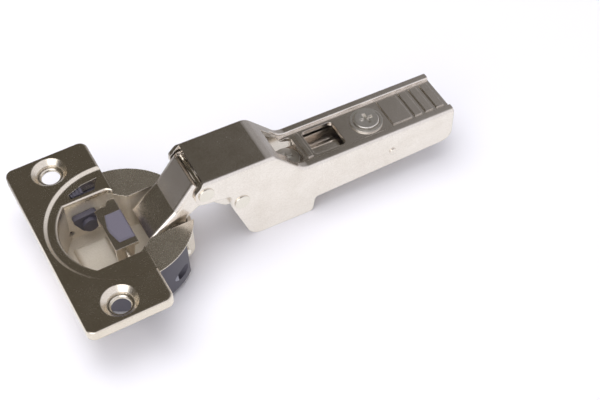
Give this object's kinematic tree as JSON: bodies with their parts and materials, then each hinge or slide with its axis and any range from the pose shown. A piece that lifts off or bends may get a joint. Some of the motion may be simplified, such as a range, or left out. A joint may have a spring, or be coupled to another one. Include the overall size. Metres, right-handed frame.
{
  "type": "concealed cup hinge",
  "caption": "Cranked concealed cabinet hinge with a screw-on 35 mm cup, folding lever linkage, soft-closing damper and clip-on arm with adjusting screws.",
  "frame": {"origin": "centre of the cup's bore on the face of the door", "axes": "+Z out of the door, +X from the cup towards the arm, +Y along the pivot pins"},
  "size_m": [0.1116, 0.0564, 0.0275],
  "materials": {
    "nickel_sheet": "nickel plated, fine grain",
    "bright_steel": "bright plated",
    "screw_steel": "zinc plated",
    "grey_plastic": "moulded, matt",
    "light_plastic": "moulded, satin"
  },
  "bodies": {
    "cup": {"hinge_cup": "nickel_sheet", "outer_lever_pin": "bright_steel", "inner_lever_pin": "bright_steel", "damper_lever_pin": "bright_steel", "damper_housing_near": "grey_plastic", "damper_housing_far": "grey_plastic", "damper_cylinder_near": "light_plastic", "damper_cylinder_far": "light_plastic", "closing_spring": "bright_steel"},
    "outer_lever_body": {"outer_lever": "nickel_sheet"},
    "inner_lever_body": {"inner_lever": "nickel_sheet"},
    "arm": {"hinge_arm": "nickel_sheet", "front_rivet": "bright_steel", "rear_rivet": "bright_steel", "depth_screw_collar": "nickel_sheet"},
    "depth_screw_body": {"depth_screw": "screw_steel"},
    "carrier": {"clip_carrier": "nickel_sheet", "latch_pin": "bright_steel", "latch_spring": "bright_steel"},
    "side_screw_body": {"side_screw": "screw_steel"},
    "latch": {"clip_latch": "bright_steel"},
    "switch": {"damper_switch": "grey_plastic"},
    "cam": {"damper_cam": "grey_plastic"},
    "rocker": {"damper_lever": "bright_steel", "damper_lever_pad": "grey_plastic"}
  },
  "joints": [
    {"name": "outer_lever_pivot", "type": "hinge", "parent": "cup", "child": "outer_lever_body", "pos_m": [0.0122, 0, -0.00616], "axis": [0, -1, 0], "range_deg": [0, 67.47]},
    {"name": "arm_front_pivot", "type": "hinge", "parent": "outer_lever_body", "child": "arm", "pos_m": [0.02037, 0, 0.00772], "axis": [0, -1, 0], "range_deg": [0, 25.1]},
    {"name": "inner_lever_pivot", "type": "hinge", "parent": "cup", "child": "inner_lever_body", "pos_m": [0.00811, 0, -0.00518], "axis": [0, -1, 0], "range_deg": [0, 70.4]},
    {"name": "depth_screw_turn", "type": "hinge", "parent": "arm", "child": "depth_screw_body", "pos_m": [0.06966, 0, -0.00038], "axis": [0.0445, 0, 0.999], "continuous": true},
    {"name": "carrier_slide", "type": "slide", "parent": "arm", "child": "carrier", "axis": [0.999, 0, -0.0445], "range_m": [-0.002, 0.002]},
    {"name": "side_screw_turn", "type": "hinge", "parent": "carrier", "child": "side_screw_body", "pos_m": [0.04602, 0, -0.00303], "axis": [0.0445, 0, 0.999], "continuous": true},
    {"name": "latch_pivot", "type": "hinge", "parent": "carrier", "child": "latch", "pos_m": [0.08123, 0, -0.00795], "axis": [0, 1, 0], "range_deg": [0, 14], "stiffness_Nm_per_rad": 0.05},
    {"name": "damper_switch_slide", "type": "slide", "parent": "cup", "child": "switch", "axis": [1, 0, 0], "range_m": [0, 0.0026]},
    {"name": "damper_cam_turn", "type": "hinge", "parent": "cup", "child": "cam", "pos_m": [-0.0054, 0.01, -0.0056], "axis": [0, -1, 0], "range_deg": [0, 20.3]},
    {"name": "damper_lever_pivot", "type": "hinge", "parent": "cup", "child": "rocker", "pos_m": [-0.0012, 0, -0.0044], "axis": [0, -1, 0], "range_deg": [0, 10.2]}
  ],
  "couplings": [
    {"joint": "arm_front_pivot", "follows": "outer_lever_pivot", "ratio": 0.3717},
    {"joint": "inner_lever_pivot", "follows": "outer_lever_pivot", "ratio": 1.0425},
    {"joint": "damper_cam_turn", "follows": "outer_lever_pivot", "ratio": 0.3},
    {"joint": "damper_lever_pivot", "follows": "outer_lever_pivot", "ratio": 0.15}
  ]
}
